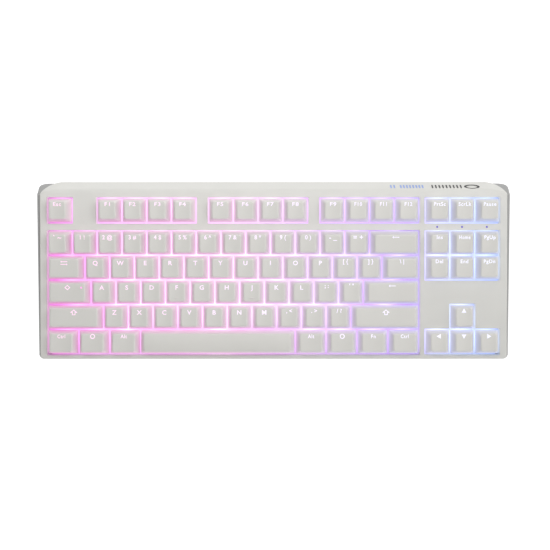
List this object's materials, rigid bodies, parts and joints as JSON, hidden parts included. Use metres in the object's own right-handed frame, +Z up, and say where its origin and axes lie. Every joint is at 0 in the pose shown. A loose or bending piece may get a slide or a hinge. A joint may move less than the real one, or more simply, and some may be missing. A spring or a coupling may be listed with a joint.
{
  "type": "mechanical keyboard",
  "caption": "Tenkeyless mechanical keyboard: pale frame and darker tray, sculpted keys that press against springs, and two-stage flip feet.",
  "frame": {"origin": "on the desk under the middle of the keyboard, at the bottom centre of its bounding box", "axes": "+X to the typist's right, +Y away from the typist, +Z up; the key deck rises 6 degrees towards +Y"},
  "size_m": [0.365, 0.1376, 0.0413],
  "materials": {
    "case_white": "fine matte texture, warm white",
    "case_grey": "fine matte texture, light grey",
    "cap_white": "smooth matte keycap plastic with light-passing legends",
    "plate": "white powder coat",
    "housing": "milky moulded nylon",
    "board": "black solder mask over glass laminate",
    "socket": "plated drawn shell",
    "rubber": "dull non-slip rubber"
  },
  "bodies": {
    "chassis": {"bottom_case": "case_grey", "top_case": "case_white", "switch_plate": "plate", "circuit_board": "board", "switch_housings": "housing", "usb_socket": "socket", "front_left_pad": "rubber", "front_right_pad": "rubber", "rear_left_pad": "rubber", "rear_right_pad": "rubber"},
    "left_tall_foot": {"left_tall_foot": "case_grey"},
    "right_tall_foot": {"right_tall_foot": "case_grey"},
    "left_short_foot": {"left_short_foot": "case_grey"},
    "right_short_foot": {"right_short_foot": "case_grey"},
    "key_space_bar": {"key_space_bar": "cap_white"},
    "key_enter": {"key_enter": "cap_white"},
    "key_esc": {"key_esc": "cap_white"},
    "key_backspace": {"key_backspace": "cap_white"},
    "key_left_shift": {"key_left_shift": "cap_white"},
    "key_right_shift": {"key_right_shift": "cap_white"},
    "key_tab": {"key_tab": "cap_white"},
    "key_caps_lock": {"key_caps_lock": "cap_white"},
    "key_f1_to_f4": {"key_f1_to_f4": "cap_white"},
    "key_f5_to_f8": {"key_f5_to_f8": "cap_white"},
    "key_f9_to_f12": {"key_f9_to_f12": "cap_white"},
    "key_print_to_pause": {"key_print_to_pause": "cap_white"},
    "key_number_row": {"key_number_row": "cap_white"},
    "key_brackets": {"key_brackets": "cap_white"},
    "key_semicolon_quote": {"key_semicolon_quote": "cap_white"},
    "key_comma_to_slash": {"key_comma_to_slash": "cap_white"},
    "key_left_modifiers": {"key_left_modifiers": "cap_white"},
    "key_right_modifiers": {"key_right_modifiers": "cap_white"},
    "key_navigation": {"key_navigation": "cap_white"},
    "key_arrows": {"key_arrows": "cap_white"},
    "key_q": {"key_q": "cap_white"},
    "key_w": {"key_w": "cap_white"},
    "key_e": {"key_e": "cap_white"},
    "key_r": {"key_r": "cap_white"},
    "key_t": {"key_t": "cap_white"},
    "key_y": {"key_y": "cap_white"},
    "key_u": {"key_u": "cap_white"},
    "key_i": {"key_i": "cap_white"},
    "key_o": {"key_o": "cap_white"},
    "key_p": {"key_p": "cap_white"},
    "key_a": {"key_a": "cap_white"},
    "key_s": {"key_s": "cap_white"},
    "key_d": {"key_d": "cap_white"},
    "key_f": {"key_f": "cap_white"},
    "key_g": {"key_g": "cap_white"},
    "key_h": {"key_h": "cap_white"},
    "key_j": {"key_j": "cap_white"},
    "key_k": {"key_k": "cap_white"},
    "key_l": {"key_l": "cap_white"},
    "key_z": {"key_z": "cap_white"},
    "key_x": {"key_x": "cap_white"},
    "key_c": {"key_c": "cap_white"},
    "key_v": {"key_v": "cap_white"},
    "key_b": {"key_b": "cap_white"},
    "key_n": {"key_n": "cap_white"},
    "key_m": {"key_m": "cap_white"}
  },
  "joints": [
    {"name": "left_tall_foot_fold", "type": "hinge", "parent": "chassis", "child": "left_tall_foot", "pos_m": [-0.15, 0.0565, 0.0052], "axis": [1, 0, 0], "range_deg": [0, 100]},
    {"name": "right_tall_foot_fold", "type": "hinge", "parent": "chassis", "child": "right_tall_foot", "pos_m": [0.15, 0.0565, 0.0052], "axis": [1, 0, 0], "range_deg": [0, 100]},
    {"name": "left_short_foot_fold", "type": "hinge", "parent": "chassis", "child": "left_short_foot", "pos_m": [-0.15, 0.0565, 0.0052], "axis": [1, 0, 0], "range_deg": [0, 100]},
    {"name": "right_short_foot_fold", "type": "hinge", "parent": "chassis", "child": "right_short_foot", "pos_m": [0.15, 0.0565, 0.0052], "axis": [1, 0, 0], "range_deg": [0, 100]},
    {"name": "key_space_bar_press", "type": "slide", "parent": "chassis", "child": "key_space_bar", "axis": [0, 0.1045, -0.9945], "range_m": [0, 0.004], "stiffness_N_per_m": 75, "springref_m": -0.004},
    {"name": "key_enter_press", "type": "slide", "parent": "chassis", "child": "key_enter", "axis": [0, 0.1045, -0.9945], "range_m": [0, 0.004], "stiffness_N_per_m": 75, "springref_m": -0.004},
    {"name": "key_esc_press", "type": "slide", "parent": "chassis", "child": "key_esc", "axis": [0, 0.1045, -0.9945], "range_m": [0, 0.004], "stiffness_N_per_m": 75, "springref_m": -0.004},
    {"name": "key_backspace_press", "type": "slide", "parent": "chassis", "child": "key_backspace", "axis": [0, 0.1045, -0.9945], "range_m": [0, 0.004], "stiffness_N_per_m": 75, "springref_m": -0.004},
    {"name": "key_left_shift_press", "type": "slide", "parent": "chassis", "child": "key_left_shift", "axis": [0, 0.1045, -0.9945], "range_m": [0, 0.004], "stiffness_N_per_m": 75, "springref_m": -0.004},
    {"name": "key_right_shift_press", "type": "slide", "parent": "chassis", "child": "key_right_shift", "axis": [0, 0.1045, -0.9945], "range_m": [0, 0.004], "stiffness_N_per_m": 75, "springref_m": -0.004},
    {"name": "key_tab_press", "type": "slide", "parent": "chassis", "child": "key_tab", "axis": [0, 0.1045, -0.9945], "range_m": [0, 0.004], "stiffness_N_per_m": 75, "springref_m": -0.004},
    {"name": "key_caps_lock_press", "type": "slide", "parent": "chassis", "child": "key_caps_lock", "axis": [0, 0.1045, -0.9945], "range_m": [0, 0.004], "stiffness_N_per_m": 75, "springref_m": -0.004},
    {"name": "key_f1_to_f4_press", "type": "slide", "parent": "chassis", "child": "key_f1_to_f4", "axis": [0, 0.1045, -0.9945], "range_m": [0, 0.004], "stiffness_N_per_m": 300, "springref_m": -0.004},
    {"name": "key_f5_to_f8_press", "type": "slide", "parent": "chassis", "child": "key_f5_to_f8", "axis": [0, 0.1045, -0.9945], "range_m": [0, 0.004], "stiffness_N_per_m": 300, "springref_m": -0.004},
    {"name": "key_f9_to_f12_press", "type": "slide", "parent": "chassis", "child": "key_f9_to_f12", "axis": [0, 0.1045, -0.9945], "range_m": [0, 0.004], "stiffness_N_per_m": 300, "springref_m": -0.004},
    {"name": "key_print_to_pause_press", "type": "slide", "parent": "chassis", "child": "key_print_to_pause", "axis": [0, 0.1045, -0.9945], "range_m": [0, 0.004], "stiffness_N_per_m": 225, "springref_m": -0.004},
    {"name": "key_number_row_press", "type": "slide", "parent": "chassis", "child": "key_number_row", "axis": [0, 0.1045, -0.9945], "range_m": [0, 0.004], "stiffness_N_per_m": 975, "springref_m": -0.004},
    {"name": "key_brackets_press", "type": "slide", "parent": "chassis", "child": "key_brackets", "axis": [0, 0.1045, -0.9945], "range_m": [0, 0.004], "stiffness_N_per_m": 225, "springref_m": -0.004},
    {"name": "key_semicolon_quote_press", "type": "slide", "parent": "chassis", "child": "key_semicolon_quote", "axis": [0, 0.1045, -0.9945], "range_m": [0, 0.004], "stiffness_N_per_m": 150, "springref_m": -0.004},
    {"name": "key_comma_to_slash_press", "type": "slide", "parent": "chassis", "child": "key_comma_to_slash", "axis": [0, 0.1045, -0.9945], "range_m": [0, 0.004], "stiffness_N_per_m": 225, "springref_m": -0.004},
    {"name": "key_left_modifiers_press", "type": "slide", "parent": "chassis", "child": "key_left_modifiers", "axis": [0, 0.1045, -0.9945], "range_m": [0, 0.004], "stiffness_N_per_m": 225, "springref_m": -0.004},
    {"name": "key_right_modifiers_press", "type": "slide", "parent": "chassis", "child": "key_right_modifiers", "axis": [0, 0.1045, -0.9945], "range_m": [0, 0.004], "stiffness_N_per_m": 300, "springref_m": -0.004},
    {"name": "key_navigation_press", "type": "slide", "parent": "chassis", "child": "key_navigation", "axis": [0, 0.1045, -0.9945], "range_m": [0, 0.004], "stiffness_N_per_m": 450, "springref_m": -0.004},
    {"name": "key_arrows_press", "type": "slide", "parent": "chassis", "child": "key_arrows", "axis": [0, 0.1045, -0.9945], "range_m": [0, 0.004], "stiffness_N_per_m": 300, "springref_m": -0.004},
    {"name": "key_q_press", "type": "slide", "parent": "chassis", "child": "key_q", "axis": [0, 0.1045, -0.9945], "range_m": [0, 0.004], "stiffness_N_per_m": 75, "springref_m": -0.004},
    {"name": "key_w_press", "type": "slide", "parent": "chassis", "child": "key_w", "axis": [0, 0.1045, -0.9945], "range_m": [0, 0.004], "stiffness_N_per_m": 75, "springref_m": -0.004},
    {"name": "key_e_press", "type": "slide", "parent": "chassis", "child": "key_e", "axis": [0, 0.1045, -0.9945], "range_m": [0, 0.004], "stiffness_N_per_m": 75, "springref_m": -0.004},
    {"name": "key_r_press", "type": "slide", "parent": "chassis", "child": "key_r", "axis": [0, 0.1045, -0.9945], "range_m": [0, 0.004], "stiffness_N_per_m": 75, "springref_m": -0.004},
    {"name": "key_t_press", "type": "slide", "parent": "chassis", "child": "key_t", "axis": [0, 0.1045, -0.9945], "range_m": [0, 0.004], "stiffness_N_per_m": 75, "springref_m": -0.004},
    {"name": "key_y_press", "type": "slide", "parent": "chassis", "child": "key_y", "axis": [0, 0.1045, -0.9945], "range_m": [0, 0.004], "stiffness_N_per_m": 75, "springref_m": -0.004},
    {"name": "key_u_press", "type": "slide", "parent": "chassis", "child": "key_u", "axis": [0, 0.1045, -0.9945], "range_m": [0, 0.004], "stiffness_N_per_m": 75, "springref_m": -0.004},
    {"name": "key_i_press", "type": "slide", "parent": "chassis", "child": "key_i", "axis": [0, 0.1045, -0.9945], "range_m": [0, 0.004], "stiffness_N_per_m": 75, "springref_m": -0.004},
    {"name": "key_o_press", "type": "slide", "parent": "chassis", "child": "key_o", "axis": [0, 0.1045, -0.9945], "range_m": [0, 0.004], "stiffness_N_per_m": 75, "springref_m": -0.004},
    {"name": "key_p_press", "type": "slide", "parent": "chassis", "child": "key_p", "axis": [0, 0.1045, -0.9945], "range_m": [0, 0.004], "stiffness_N_per_m": 75, "springref_m": -0.004},
    {"name": "key_a_press", "type": "slide", "parent": "chassis", "child": "key_a", "axis": [0, 0.1045, -0.9945], "range_m": [0, 0.004], "stiffness_N_per_m": 75, "springref_m": -0.004},
    {"name": "key_s_press", "type": "slide", "parent": "chassis", "child": "key_s", "axis": [0, 0.1045, -0.9945], "range_m": [0, 0.004], "stiffness_N_per_m": 75, "springref_m": -0.004},
    {"name": "key_d_press", "type": "slide", "parent": "chassis", "child": "key_d", "axis": [0, 0.1045, -0.9945], "range_m": [0, 0.004], "stiffness_N_per_m": 75, "springref_m": -0.004},
    {"name": "key_f_press", "type": "slide", "parent": "chassis", "child": "key_f", "axis": [0, 0.1045, -0.9945], "range_m": [0, 0.004], "stiffness_N_per_m": 75, "springref_m": -0.004},
    {"name": "key_g_press", "type": "slide", "parent": "chassis", "child": "key_g", "axis": [0, 0.1045, -0.9945], "range_m": [0, 0.004], "stiffness_N_per_m": 75, "springref_m": -0.004},
    {"name": "key_h_press", "type": "slide", "parent": "chassis", "child": "key_h", "axis": [0, 0.1045, -0.9945], "range_m": [0, 0.004], "stiffness_N_per_m": 75, "springref_m": -0.004},
    {"name": "key_j_press", "type": "slide", "parent": "chassis", "child": "key_j", "axis": [0, 0.1045, -0.9945], "range_m": [0, 0.004], "stiffness_N_per_m": 75, "springref_m": -0.004},
    {"name": "key_k_press", "type": "slide", "parent": "chassis", "child": "key_k", "axis": [0, 0.1045, -0.9945], "range_m": [0, 0.004], "stiffness_N_per_m": 75, "springref_m": -0.004},
    {"name": "key_l_press", "type": "slide", "parent": "chassis", "child": "key_l", "axis": [0, 0.1045, -0.9945], "range_m": [0, 0.004], "stiffness_N_per_m": 75, "springref_m": -0.004},
    {"name": "key_z_press", "type": "slide", "parent": "chassis", "child": "key_z", "axis": [0, 0.1045, -0.9945], "range_m": [0, 0.004], "stiffness_N_per_m": 75, "springref_m": -0.004},
    {"name": "key_x_press", "type": "slide", "parent": "chassis", "child": "key_x", "axis": [0, 0.1045, -0.9945], "range_m": [0, 0.004], "stiffness_N_per_m": 75, "springref_m": -0.004},
    {"name": "key_c_press", "type": "slide", "parent": "chassis", "child": "key_c", "axis": [0, 0.1045, -0.9945], "range_m": [0, 0.004], "stiffness_N_per_m": 75, "springref_m": -0.004},
    {"name": "key_v_press", "type": "slide", "parent": "chassis", "child": "key_v", "axis": [0, 0.1045, -0.9945], "range_m": [0, 0.004], "stiffness_N_per_m": 75, "springref_m": -0.004},
    {"name": "key_b_press", "type": "slide", "parent": "chassis", "child": "key_b", "axis": [0, 0.1045, -0.9945], "range_m": [0, 0.004], "stiffness_N_per_m": 75, "springref_m": -0.004},
    {"name": "key_n_press", "type": "slide", "parent": "chassis", "child": "key_n", "axis": [0, 0.1045, -0.9945], "range_m": [0, 0.004], "stiffness_N_per_m": 75, "springref_m": -0.004},
    {"name": "key_m_press", "type": "slide", "parent": "chassis", "child": "key_m", "axis": [0, 0.1045, -0.9945], "range_m": [0, 0.004], "stiffness_N_per_m": 75, "springref_m": -0.004}
  ]
}
